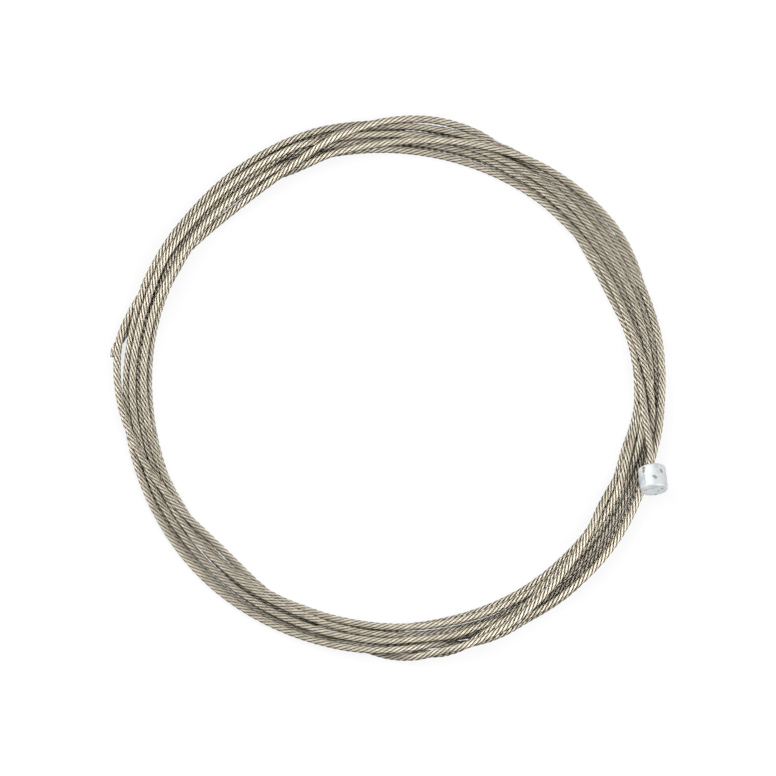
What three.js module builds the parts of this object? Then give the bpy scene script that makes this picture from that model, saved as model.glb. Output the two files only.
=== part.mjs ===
// Bicycle shift cable: a stranded steel cable with a cast barrel head on its start, coiled to lie flat.
// Millimetres, +Z up. The coil rests on z = 0 and the box of the whole object is centred on the Z axis.
import * as THREE from 'three';

// Cable
const CABLE_DIAMETER = 1.1;
const CABLE_SIDES = 8;
const COIL_RADIUS = 39; // lane 0, near the middle of the bundle of turns

// Barrel head
const HEAD_DIAMETER = 4.2;
const HEAD_LENGTH = 3.7;
const HEAD_EDGE = 0.28; // rounding of the cast rims
const HEAD_YAW = -83; // degrees round from +X, from the exit face to the free end
const HEAD_PITCH = 13; // degrees that the free end points up, held by the cable's spring
const HEAD_FACETS = 48;
const HEAD_EXIT = { angle: -18.6, lane: 2.47 }; // where the cable leaves the head
const HEAD_REST_GAP = 0.12; // between the head and the turns it lies on

// Bore in the head, which the cable's end is cast into
const BORE_DEPTH = 2.5;
const BORE_CLEARANCE = 0.08; // radial
const BORE_END_GAP = 0.3;
const BORE_FLARE = 0.15; // at the mouth
const STRAIGHT_RUN = 1.2; // of cable outside the bore

// Winding
const STATION_DEGREES = 5;
const TURN_SPACING = 1.06; // of touching turns, in cable diameters
const SETTLE_PASSES = 300;
const LANE_PULL = 0.3; // share of the way back to its lane that a station moves in each pass
const LANE_SLACK = 0.35; // how far a settling station may leave its lane, in cable diameters
const SINK = 0.008; // how far a station drops in each pass, in cable diameters
const TOUCHES = 3; // the places where the springy coil touches the floor, evenly round it
const BOW = 0.06; // how high it bows between them
const EASE = 0.35; // how strongly the steel's stiffness evens out neighbouring stations
const CLOSING_PASSES = 200; // with nothing but the turns parting, so that none overlap
const LEAD_STATIONS = 3; // over which the cable comes down from the head to the turns

// Each row is the cable at one angle of a turn: [degrees, lane, level], with lane the place across the
// bundle and level the height over the floor, both in cable diameters. The turns run on from each other.
// The first one leaves the head and wraps round the other eight three times, which holds the coil shut.
const TURNS = [
  [
    [-20, 2.95, 3.2], [-15, 1.5, 3.2], [-11, 0.4, 3.1], [-6, -0.5, 3], [0, -0.75, 2.4],
    [7, -1.2, 1.5], [15, -1.9, 0.7], [21, -2.6, 0.5], [28, -2.75, 0.2], [37, -2.35, 0],
    [50, -0.85, 0], [65, 1.2, 0.2], [72, 2.25, 0.8], [80, 2.5, 1.6], [88, 1.85, 2.5], [96, 0.95, 3],
    [104, -0.45, 3], [112, -1.9, 2.4], [119, -2.65, 1.7], [127, -2.95, 1], [135, -2.65, 0.3],
    [144, -1.8, 0], [150, -1.15, 0], [155, -0.05, 0.5], [160, 1.2, 1.3], [165, 1.85, 1.2],
    [170, 2.6, 1.3], [177, 2.25, 2.1], [185, 1.55, 2.8], [195, 0.3, 3], [203, -0.85, 2.9],
    [211, -1.9, 2], [219, -2.6, 1.2], [229, -2.95, 0.5], [236, -2.6, 0.1], [242, -2.1, 0],
    [254, -0.25, 0], [267, 1.2, 0], [274, 1.95, 0.7], [283, 2.45, 1.8], [293, 2.05, 2.7],
    [302, 1.15, 3], [311, 0.1, 2.5], [321, -0.9, 1.8], [331, -1.55, 1.1],
  ],
  [
    [-15, -1.45, 1.1], [-10, -0.85, 1], [-5, -0.15, 0.6], [0, 0.35, 0.1], [8, 0.85, 0],
    [20, 1.75, 0.2], [28, 2.5, 0.8], [37, 2.7, 1.4], [47, 2.4, 2], [58, 1.4, 2.5], [69, 0.25, 2.6],
    [79, -0.75, 2.3], [88, -1.5, 1.9], [98, -2, 1.3], [110, -1.9, 0.6], [124, -1.7, 0],
    [134, -1.5, 0.4], [144, -1.3, 1], [151, -1.35, 1], [160, -1.8, 0.5], [168, -2, 0.6],
    [180, -2.3, 0.9], [195, -2.35, 0.9], [207, -2.1, 0.4], [223, -1.6, 0], [240, -0.95, 0],
    [258, -1.5, 0], [272, -1.95, 0], [286, -1.95, 0], [299, -1.65, 0], [311, -1.4, 0],
    [325, -1.3, 0],
  ],
  [
    [-17, -1.7, 0], [-10, -1.15, 0], [-5, -0.75, 0], [0, -0.8, 0], [6, -1.05, 0], [13, -1.4, 0],
    [26, -1.3, 0], [40, -1.1, 0], [70, -1.1, 0], [100, -1.25, 0], [126, -1, 0], [142, -0.7, 0.6],
    [154, -0.95, 0.3], [166, -1, 0], [190, -0.6, 0], [216, -0.3, 0], [240, -0.05, 0],
    [260, 0.05, 0], [271, 0.3, 0], [279, 0.8, 0], [288, 1.2, 0.1], [297, 1.7, 0.8], [308, 2.2, 1],
    [318, 2.5, 1], [328, 2.45, 1],
  ],
  [
    [-19, 1.9, 1], [-9, 1.9, 1], [0, 2, 1], [15, 1.95, 1], [28, 1.8, 0.9], [38, 1.8, 0.5],
    [50, 1.7, 0], [65, 1.15, 0], [75, 1, 0], [86, 1.3, 0.2], [96, 1.55, 0.8], [108, 1.55, 1],
    [122, 1.4, 1.2], [136, 0.95, 1.3], [150, 0.7, 1.5], [166, 0.65, 1.5], [182, 0.7, 1.4],
    [199, 0.9, 1], [213, 1.15, 1], [227, 1.4, 1], [243, 1.4, 1.1], [258, 1.45, 1.2],
    [272, 1.45, 1.2], [284, 1.5, 0.9], [294, 1.75, 0.3], [305, 1.9, 0], [319, 2.1, 0], [333, 2, 0],
  ],
  [
    [-15, 1.8, 0.6], [-8, 1.25, 1.5], [-4, 0.55, 2.4], [0, -0.05, 2.9], [5, -0.7, 2.9],
    [10, -1.2, 2.4], [16, -1.6, 1.8], [24, -1.75, 1.4], [36, -2, 1.1], [48, -2.1, 1],
    [60, -2.25, 0.8], [73, -2.3, 0.4], [86, -2.25, 0], [98, -2, 0], [108, -1.6, 0.5],
    [118, -1.4, 1], [131, -1.45, 1], [142, -1.4, 1.7], [154, -1.4, 1.8], [166, -1.4, 1],
    [178, -1.55, 1.1], [191, -1.75, 1.2], [204, -1.95, 1], [216, -2.05, 1], [229, -2.05, 1],
    [244, -2, 0.9], [258, -1.9, 0.9], [271, -1.85, 0.9], [282, -1.6, 0.9], [292, -1.25, 0.9],
    [301, -0.95, 0.9], [311, -0.7, 0.9], [322, -0.5, 1],
  ],
  [
    [-21, -0.55, 1], [-6, -0.5, 1], [6, -0.35, 1], [18, -0.5, 1], [30, -0.8, 1], [42, -1, 1],
    [56, -1.05, 1], [69, -1, 0.7], [81, -1.1, 0.3], [92, -1.2, 0.3], [103, -1, 0.6],
    [112, -0.7, 0.9], [123, -0.5, 0.8], [136, -0.6, 0.9], [150, -0.6, 1.2], [166, -0.65, 0.8],
    [180, -0.85, 0.9], [190, -1.1, 1], [203, -1.3, 1], [215, -1.4, 1], [228, -1.45, 1],
    [243, -1.35, 1], [257, -1.15, 1], [270, -0.85, 1], [280, -0.6, 1], [290, -0.3, 1],
    [299, 0, 0.9], [307, 0.15, 0.7], [316, 0.4, 0.9], [327, 0.6, 1],
  ],
  [
    [-21, 0.6, 1], [-4, 0.45, 0.8], [10, 0.25, 0.9], [24, 0.05, 1], [38, -0.1, 1], [52, -0.15, 0.9],
    [65, -0.3, 0.5], [77, -0.4, 0.5], [88, -0.35, 0.9], [98, -0.2, 1], [107, 0.05, 1.1],
    [118, 0.1, 1.3], [134, 0, 1.6], [150, -0.1, 1.7], [166, -0.15, 1.6], [180, -0.1, 1.3],
    [191, -0.15, 0.9], [204, -0.25, 0.9], [217, -0.25, 1], [231, -0.15, 1], [244, -0.1, 1],
    [258, 0.1, 1], [272, 0.35, 1], [283, 0.6, 1], [293, 0.75, 0.9], [300, 0.95, 0.7],
    [307, 1.2, 0.8], [315, 1.5, 0.9], [326, 1.6, 1],
  ],
  [
    [-19, 1.5, 0.4], [0, 1.35, 0.3], [15, 1.15, 0.4], [30, 0.95, 0.8], [44, 0.9, 1], [56, 0.8, 0.7],
    [66, 0.9, 0.7], [76, 1.15, 1], [86, 1, 0.9], [94, 0.8, 0.9], [101, 0.45, 0.9], [108, 0.1, 0.4],
    [116, -0.1, 0], [128, -0.05, 0], [138, -0.05, 0], [146, 0.05, 0.5], [152, 0.05, 0.9],
    [159, 0, 0.4], [167, 0.1, 0], [185, 0.15, 0], [206, 0.45, 0.5], [224, 0.65, 0.5],
    [239, 0.7, 0.1], [252, 0.75, 0], [264, 1.05, 0], [273, 1.5, 0], [280, 1.85, 0.8],
    [287, 1.85, 1.5], [294, 1.4, 2.1], [300, 0.7, 2.2], [306, -0.05, 2.1], [313, -0.8, 1.5],
    [321, -1.1, 0.7], [331, -1.1, 0.7],
  ],
  [
    [-17, -0.95, 1.7], [-8, -0.6, 1.7], [0, -0.4, 1], [10, -0.45, 0.2], [30, -0.05, 0],
    [50, 0.25, 0], [75, 0.15, 0], [86, 0, 0], [94, 0.2, 0], [101, 0.6, 0], [109, 0.85, 0],
    [122, 0.85, 0], [136, 0.75, 0], [146, 0.6, 0], [154, 0.5, 0], [160, 0.45, 0], [165, 1.2, 0],
    [170, 2.1, 0], [175, 2.75, 0],
  ],
];

// The bent tip as [degrees, lane] in the last turn, lying on the floor under the loose first turn
const TIP = [[168, 1.7], [170, 2.15], [171.4, 2.6], [172.4, 2.75], [173.6, 2.75]];

const stationsPerTurn = 360 / STATION_DEGREES;
const cableRadius = CABLE_DIAMETER / 2;
const headRadius = HEAD_DIAMETER / 2;

// How high the coil bows over the floor between the places that it touches
function bow(degrees) {
  return (BOW * (1 - Math.cos(THREE.MathUtils.degToRad(TOUCHES * degrees)))) / 2;
}

function laneRadius(lane) {
  return COIL_RADIUS + lane * CABLE_DIAMETER;
}

function polar(degrees, radius, height) {
  const angle = THREE.MathUtils.degToRad(degrees);
  return new THREE.Vector3(radius * Math.cos(angle), radius * Math.sin(angle), height);
}

// A smooth value through rows of [x, ...values], read at x with the slopes of the neighbouring rows
function smoothRow(rows, x, column) {
  let k = 0;
  while (k < rows.length - 2 && rows[k + 1][0] <= x) k += 1;
  const slope = (i) => {
    const before = rows[Math.max(i - 1, 0)];
    const after = rows[Math.min(i + 1, rows.length - 1)];
    return (after[column] - before[column]) / (after[0] - before[0]);
  };
  const span = rows[k + 1][0] - rows[k][0];
  const t = (x - rows[k][0]) / span;
  const s = 1 - t;
  return (1 + 2 * t) * s * s * rows[k][column] + t * s * s * span * slope(k)
    + t * t * (3 - 2 * t) * rows[k + 1][column] - t * t * s * span * slope(k + 1);
}

// The stations as first laid, at evenly spaced angles, where the rows ask for them
function layTurns() {
  const rows = TURNS.flatMap((turn, number) => (
    turn.map(([angle, lane, level]) => [angle + 360 * number, lane, level])));
  const start = rows[0][0];
  const count = Math.floor((rows.at(-1)[0] - start) / STATION_DEGREES) + 1;
  const angle = Array.from({ length: count }, (_, i) => start + i * STATION_DEGREES);
  const lane = angle.map((x) => laneRadius(smoothRow(rows, x, 1)));
  const height = angle.map((x) => cableRadius + CABLE_DIAMETER * Math.max(smoothRow(rows, x, 2), 0));
  return { angle, lane, height, radius: [...lane] };
}

// Moves turns apart where they come closer than their spacing, between one station and the next
function partTurns({ angle, radius, height }) {
  const spacing = TURN_SPACING * CABLE_DIAMETER;
  const last = radius.length - 1;
  for (let i = 0; i < last; i += 1) {
    for (let j = i + stationsPerTurn; j < last; j += stationsPerTurn) {
      const startR = radius[j] - radius[i];
      const startZ = height[j] - height[i];
      const alongR = radius[j + 1] - radius[i + 1] - startR;
      const alongZ = height[j + 1] - height[i + 1] - startZ;
      const square = alongR * alongR + alongZ * alongZ;
      const nearest = square > 0 ? -(startR * alongR + startZ * alongZ) / square : 0;
      const t = Math.min(Math.max(nearest, 0), 1);
      const r = startR + t * alongR;
      const z = startZ + t * alongZ;
      const gap = Math.hypot(r, z);
      if (gap < spacing && gap > 0) {
        const push = (spacing - gap) / gap / 2 / (t * t + (1 - t) * (1 - t));
        const near = push * (1 - t);
        const far = push * t;
        radius[i] -= r * near;
        radius[j] += r * near;
        radius[i + 1] -= r * far;
        radius[j + 1] += r * far;
        height[i] -= z * near;
        height[j] += z * near;
        height[i + 1] -= z * far;
        height[j + 1] += z * far;
      }
    }
  }
  height.forEach((z, i) => {
    height[i] = Math.max(z, cableRadius + bow(angle[i]));
  });
}

// Lets the turns sink onto the floor and each other, each keeping to its lane and running smoothly
function settle(stations) {
  const { radius, height, lane } = stations;
  const slack = LANE_SLACK * CABLE_DIAMETER;
  for (let pass = 0; pass < SETTLE_PASSES; pass += 1) {
    for (let i = 1; i < radius.length - 1; i += 1) {
      radius[i] += LANE_PULL * (lane[i] - radius[i]);
      radius[i] += EASE * ((radius[i - 1] + radius[i + 1]) / 2 - radius[i]);
      height[i] += EASE * ((height[i - 1] + height[i + 1]) / 2 - height[i]);
      height[i] -= SINK * CABLE_DIAMETER;
    }
    partTurns(stations);
    partTurns(stations);
    lane.forEach((r, i) => {
      radius[i] = Math.min(Math.max(radius[i], r - slack), r + slack);
    });
  }
  for (let pass = 0; pass < CLOSING_PASSES; pass += 1) partTurns(stations);
  return stations;
}

// Where the cable lies between station i and the next
function between({ angle, radius, height }, i, t) {
  const mix = (values) => values[i] * (1 - t) + values[i + 1] * t;
  return polar(mix(angle), mix(radius), mix(height));
}

// The head's exit face and axis: it lies on the turns below it, its free end raised
function headPose(stations) {
  const pitch = THREE.MathUtils.degToRad(HEAD_PITCH);
  const exit = polar(HEAD_EXIT.angle, laneRadius(HEAD_EXIT.lane), 0);
  const flat = polar(HEAD_YAW, 1, 0);
  const reach = headRadius + cableRadius + HEAD_REST_GAP;
  let rest = reach;
  for (let i = stationsPerTurn / 2; i < stations.angle.length - 1; i += 1) {
    for (let t = 0; t < 1; t += 0.1) {
      const turn = between(stations, i, t);
      const offset = turn.clone().sub(exit).setZ(0);
      const along = offset.dot(flat);
      const aside = Math.sqrt(Math.max(offset.lengthSq() - along * along, 0));
      if (aside < reach && along > -cableRadius && along < HEAD_LENGTH) {
        const over = Math.sqrt(reach * reach - aside * aside) / Math.cos(pitch);
        rest = Math.max(rest, turn.z + over - along * Math.tan(pitch));
      }
    }
  }
  exit.z = rest;
  const axis = flat.multiplyScalar(Math.cos(pitch)).setZ(Math.sin(pitch));
  return { exit, axis };
}

// The cable's whole centre line, from the bore in the head to the cut tip
function cableLine(stations, { exit, axis }) {
  const seat = [BORE_DEPTH - BORE_END_GAP, BORE_DEPTH / 2, 0, -STRAIGHT_RUN];
  const line = seat.map((distance) => exit.clone().addScaledVector(axis, distance));
  const drop = axis.z / Math.hypot(axis.x, axis.y);
  const tipStart = 360 * (TURNS.length - 1) + TIP[0][0];
  stations.angle.forEach((angle, i) => {
    if (i > 0 && angle < tipStart) {
      const point = polar(angle, stations.radius[i], stations.height[i]);
      const spring = exit.z - drop * Math.hypot(point.x - exit.x, point.y - exit.y);
      const share = Math.max(1 - (i - 1) / LEAD_STATIONS, 0);
      point.z = Math.max(point.z, point.z + share * (spring - point.z));
      line.push(point);
    }
  });
  TIP.forEach(([angle, lane]) => line.push(polar(angle, laneRadius(lane), cableRadius + bow(angle))));
  return line;
}

function cableMesh(line) {
  const path = new THREE.CatmullRomCurve3(line, false, 'centripetal');
  path.arcLengthDivisions = line.length * 8;
  const ring = Array.from({ length: CABLE_SIDES }, (_, i) => {
    const angle = ((i + 0.5) / CABLE_SIDES) * 2 * Math.PI;
    return new THREE.Vector2(cableRadius * Math.cos(angle), cableRadius * Math.sin(angle));
  });
  const tube = { steps: line.length, extrudePath: path, bevelEnabled: false };
  const geometry = new THREE.ExtrudeGeometry(new THREE.Shape(ring), tube);
  const steel = new THREE.MeshStandardMaterial({ color: 0xb5ab94, roughness: 0.38, metalness: 0.9 });
  const mesh = new THREE.Mesh(geometry, steel);
  mesh.name = 'cable';
  return mesh;
}

// A turned outline round the head's axis: y = 0 is the exit face, the bore opens there
function headMesh({ exit, axis }) {
  const bore = cableRadius + BORE_CLEARANCE;
  const rim = (y, side) => Array.from({ length: 4 }, (_, i) => {
    const angle = (i / 3) * (Math.PI / 2);
    const turn = side < 0 ? Math.PI / 2 - angle : angle;
    const inset = HEAD_EDGE * (1 - Math.cos(turn));
    return new THREE.Vector2(headRadius - inset, y - side * HEAD_EDGE * (1 - Math.sin(turn)));
  });
  const outline = [
    new THREE.Vector2(0, BORE_DEPTH),
    new THREE.Vector2(bore, BORE_DEPTH),
    new THREE.Vector2(bore, BORE_FLARE),
    new THREE.Vector2(bore + BORE_FLARE, 0),
    ...rim(0, -1),
    ...rim(HEAD_LENGTH, 1),
    new THREE.Vector2(0, HEAD_LENGTH),
  ];
  const zinc = new THREE.MeshStandardMaterial({ color: 0xdfe4e8, roughness: 0.32, metalness: 0.85 });
  const mesh = new THREE.Mesh(new THREE.LatheGeometry(outline, HEAD_FACETS), zinc);
  mesh.name = 'head';
  mesh.position.copy(exit);
  mesh.quaternion.setFromUnitVectors(new THREE.Vector3(0, 1, 0), axis);
  return mesh;
}

const stations = settle(layTurns());
const pose = headPose(stations);
const shiftCable = new THREE.Group();
shiftCable.add(cableMesh(cableLine(stations, pose)));
shiftCable.add(headMesh(pose));

const box = new THREE.Box3().setFromObject(shiftCable, true);
shiftCable.position.set(-(box.min.x + box.max.x) / 2, -(box.min.y + box.max.y) / 2, -box.min.z);

export default shiftCable;
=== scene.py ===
"""Dresses the coiled shift cable: its laid steel wires, its cast barrel head, and the studio."""

import logging
import math
from dataclasses import dataclass, field
from enum import Enum

import bmesh
import bpy
import numpy as np
from mathutils import Matrix, Vector


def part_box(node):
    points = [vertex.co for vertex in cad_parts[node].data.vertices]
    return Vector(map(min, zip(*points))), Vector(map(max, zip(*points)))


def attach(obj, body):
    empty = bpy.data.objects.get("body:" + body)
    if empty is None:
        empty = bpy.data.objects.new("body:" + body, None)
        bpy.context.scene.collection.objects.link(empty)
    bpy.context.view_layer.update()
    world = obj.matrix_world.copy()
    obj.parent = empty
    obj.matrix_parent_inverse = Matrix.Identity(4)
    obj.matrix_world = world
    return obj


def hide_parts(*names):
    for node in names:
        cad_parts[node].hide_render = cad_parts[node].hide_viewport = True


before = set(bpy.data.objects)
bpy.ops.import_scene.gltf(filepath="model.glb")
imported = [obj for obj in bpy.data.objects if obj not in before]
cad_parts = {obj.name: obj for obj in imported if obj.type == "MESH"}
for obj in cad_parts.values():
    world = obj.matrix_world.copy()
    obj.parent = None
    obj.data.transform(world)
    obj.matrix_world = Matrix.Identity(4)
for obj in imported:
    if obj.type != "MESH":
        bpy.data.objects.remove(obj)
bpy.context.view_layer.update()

log = logging.getLogger("shift_cable")

MM = 0.001
PHOTO_PX = 776

Colour = tuple[float, float, float]
Pairs = tuple[tuple[float, float], ...]
Tints = tuple[tuple[float, Colour], ...]
Node = bpy.types.Node
Object = bpy.types.Object
Socket = bpy.types.NodeSocket

# The route's rows, as in the part's source: (degrees, lane, level) for each turn, with lane the
# place across the bundle of turns and level the height over the floor, both in cable diameters
Row = tuple[float, float, float]
TURNS: tuple[tuple[Row, ...], ...] = (
  (
    (-20, 2.95, 3.2), (-15, 1.5, 3.2), (-11, 0.4, 3.1), (-6, -0.5, 3), (0, -0.75, 2.4),
    (7, -1.2, 1.5), (15, -1.9, 0.7), (21, -2.6, 0.5), (28, -2.75, 0.2), (37, -2.35, 0),
    (50, -0.85, 0), (65, 1.2, 0.2), (72, 2.25, 0.8), (80, 2.5, 1.6), (88, 1.85, 2.5), (96, 0.95, 3),
    (104, -0.45, 3), (112, -1.9, 2.4), (119, -2.65, 1.7), (127, -2.95, 1), (135, -2.65, 0.3),
    (144, -1.8, 0), (150, -1.15, 0), (155, -0.05, 0.5), (160, 1.2, 1.3), (165, 1.85, 1.2),
    (170, 2.6, 1.3), (177, 2.25, 2.1), (185, 1.55, 2.8), (195, 0.3, 3), (203, -0.85, 2.9),
    (211, -1.9, 2), (219, -2.6, 1.2), (229, -2.95, 0.5), (236, -2.6, 0.1), (242, -2.1, 0),
    (254, -0.25, 0), (267, 1.2, 0), (274, 1.95, 0.7), (283, 2.45, 1.8), (293, 2.05, 2.7),
    (302, 1.15, 3), (311, 0.1, 2.5), (321, -0.9, 1.8), (331, -1.55, 1.1),
  ),
  (
    (-15, -1.45, 1.1), (-10, -0.85, 1), (-5, -0.15, 0.6), (0, 0.35, 0.1), (8, 0.85, 0),
    (20, 1.75, 0.2), (28, 2.5, 0.8), (37, 2.7, 1.4), (47, 2.4, 2), (58, 1.4, 2.5), (69, 0.25, 2.6),
    (79, -0.75, 2.3), (88, -1.5, 1.9), (98, -2, 1.3), (110, -1.9, 0.6), (124, -1.7, 0),
    (134, -1.5, 0.4), (144, -1.3, 1), (151, -1.35, 1), (160, -1.8, 0.5), (168, -2, 0.6),
    (180, -2.3, 0.9), (195, -2.35, 0.9), (207, -2.1, 0.4), (223, -1.6, 0), (240, -0.95, 0),
    (258, -1.5, 0), (272, -1.95, 0), (286, -1.95, 0), (299, -1.65, 0), (311, -1.4, 0),
    (325, -1.3, 0),
  ),
  (
    (-17, -1.7, 0), (-10, -1.15, 0), (-5, -0.75, 0), (0, -0.8, 0), (6, -1.05, 0), (13, -1.4, 0),
    (26, -1.3, 0), (40, -1.1, 0), (70, -1.1, 0), (100, -1.25, 0), (126, -1, 0), (142, -0.7, 0.6),
    (154, -0.95, 0.3), (166, -1, 0), (190, -0.6, 0), (216, -0.3, 0), (240, -0.05, 0),
    (260, 0.05, 0), (271, 0.3, 0), (279, 0.8, 0), (288, 1.2, 0.1), (297, 1.7, 0.8), (308, 2.2, 1),
    (318, 2.5, 1), (328, 2.45, 1),
  ),
  (
    (-19, 1.9, 1), (-9, 1.9, 1), (0, 2, 1), (15, 1.95, 1), (28, 1.8, 0.9), (38, 1.8, 0.5),
    (50, 1.7, 0), (65, 1.15, 0), (75, 1, 0), (86, 1.3, 0.2), (96, 1.55, 0.8), (108, 1.55, 1),
    (122, 1.4, 1.2), (136, 0.95, 1.3), (150, 0.7, 1.5), (166, 0.65, 1.5), (182, 0.7, 1.4),
    (199, 0.9, 1), (213, 1.15, 1), (227, 1.4, 1), (243, 1.4, 1.1), (258, 1.45, 1.2),
    (272, 1.45, 1.2), (284, 1.5, 0.9), (294, 1.75, 0.3), (305, 1.9, 0), (319, 2.1, 0), (333, 2, 0),
  ),
  (
    (-15, 1.8, 0.6), (-8, 1.25, 1.5), (-4, 0.55, 2.4), (0, -0.05, 2.9), (5, -0.7, 2.9),
    (10, -1.2, 2.4), (16, -1.6, 1.8), (24, -1.75, 1.4), (36, -2, 1.1), (48, -2.1, 1),
    (60, -2.25, 0.8), (73, -2.3, 0.4), (86, -2.25, 0), (98, -2, 0), (108, -1.6, 0.5),
    (118, -1.4, 1), (131, -1.45, 1), (142, -1.4, 1.7), (154, -1.4, 1.8), (166, -1.4, 1),
    (178, -1.55, 1.1), (191, -1.75, 1.2), (204, -1.95, 1), (216, -2.05, 1), (229, -2.05, 1),
    (244, -2, 0.9), (258, -1.9, 0.9), (271, -1.85, 0.9), (282, -1.6, 0.9), (292, -1.25, 0.9),
    (301, -0.95, 0.9), (311, -0.7, 0.9), (322, -0.5, 1),
  ),
  (
    (-21, -0.55, 1), (-6, -0.5, 1), (6, -0.35, 1), (18, -0.5, 1), (30, -0.8, 1), (42, -1, 1),
    (56, -1.05, 1), (69, -1, 0.7), (81, -1.1, 0.3), (92, -1.2, 0.3), (103, -1, 0.6),
    (112, -0.7, 0.9), (123, -0.5, 0.8), (136, -0.6, 0.9), (150, -0.6, 1.2), (166, -0.65, 0.8),
    (180, -0.85, 0.9), (190, -1.1, 1), (203, -1.3, 1), (215, -1.4, 1), (228, -1.45, 1),
    (243, -1.35, 1), (257, -1.15, 1), (270, -0.85, 1), (280, -0.6, 1), (290, -0.3, 1),
    (299, 0, 0.9), (307, 0.15, 0.7), (316, 0.4, 0.9), (327, 0.6, 1),
  ),
  (
    (-21, 0.6, 1), (-4, 0.45, 0.8), (10, 0.25, 0.9), (24, 0.05, 1), (38, -0.1, 1), (52, -0.15, 0.9),
    (65, -0.3, 0.5), (77, -0.4, 0.5), (88, -0.35, 0.9), (98, -0.2, 1), (107, 0.05, 1.1),
    (118, 0.1, 1.3), (134, 0, 1.6), (150, -0.1, 1.7), (166, -0.15, 1.6), (180, -0.1, 1.3),
    (191, -0.15, 0.9), (204, -0.25, 0.9), (217, -0.25, 1), (231, -0.15, 1), (244, -0.1, 1),
    (258, 0.1, 1), (272, 0.35, 1), (283, 0.6, 1), (293, 0.75, 0.9), (300, 0.95, 0.7),
    (307, 1.2, 0.8), (315, 1.5, 0.9), (326, 1.6, 1),
  ),
  (
    (-19, 1.5, 0.4), (0, 1.35, 0.3), (15, 1.15, 0.4), (30, 0.95, 0.8), (44, 0.9, 1), (56, 0.8, 0.7),
    (66, 0.9, 0.7), (76, 1.15, 1), (86, 1, 0.9), (94, 0.8, 0.9), (101, 0.45, 0.9), (108, 0.1, 0.4),
    (116, -0.1, 0), (128, -0.05, 0), (138, -0.05, 0), (146, 0.05, 0.5), (152, 0.05, 0.9),
    (159, 0, 0.4), (167, 0.1, 0), (185, 0.15, 0), (206, 0.45, 0.5), (224, 0.65, 0.5),
    (239, 0.7, 0.1), (252, 0.75, 0), (264, 1.05, 0), (273, 1.5, 0), (280, 1.85, 0.8),
    (287, 1.85, 1.5), (294, 1.4, 2.1), (300, 0.7, 2.2), (306, -0.05, 2.1), (313, -0.8, 1.5),
    (321, -1.1, 0.7), (331, -1.1, 0.7),
  ),
  (
    (-17, -0.95, 1.7), (-8, -0.6, 1.7), (0, -0.4, 1), (10, -0.45, 0.2), (30, -0.05, 0),
    (50, 0.25, 0), (75, 0.15, 0), (86, 0, 0), (94, 0.2, 0), (101, 0.6, 0), (109, 0.85, 0),
    (122, 0.85, 0), (136, 0.75, 0), (146, 0.6, 0), (154, 0.5, 0), (160, 0.45, 0), (165, 1.2, 0),
    (170, 2.1, 0), (175, 2.75, 0),
  ),
)

# The bent tip as (degrees, lane) in the last turn
TIP: Pairs = (
    (168, 1.7), (170, 2.15), (171.4, 2.6), (172.4, 2.75), (173.6, 2.75),
)


def placed(name: str, data: bpy.types.ID) -> Object:
    """Makes an object and puts it in the scene.

    Args:
        name: Its name.
        data: The mesh, curve, lamp or camera that it shows.

    Returns:
        The object.
    """
    item = bpy.data.objects.new(name, data)
    bpy.context.scene.collection.objects.link(item)
    return item


class Hand(Enum):
    """Which way the wires turn round the cable, seen along it."""

    LEFT = -1
    RIGHT = 1


@dataclass
class Stations:
    """The winding at evenly spaced angles, in millimetres."""

    angle: list[float]
    lane: list[float]
    radius: list[float]
    height: list[float]


@dataclass(frozen=True)
class HeadPose:
    """Where the head sits: its exit face's middle and the direction to its free end."""

    exit: Vector
    axis: Vector


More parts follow.
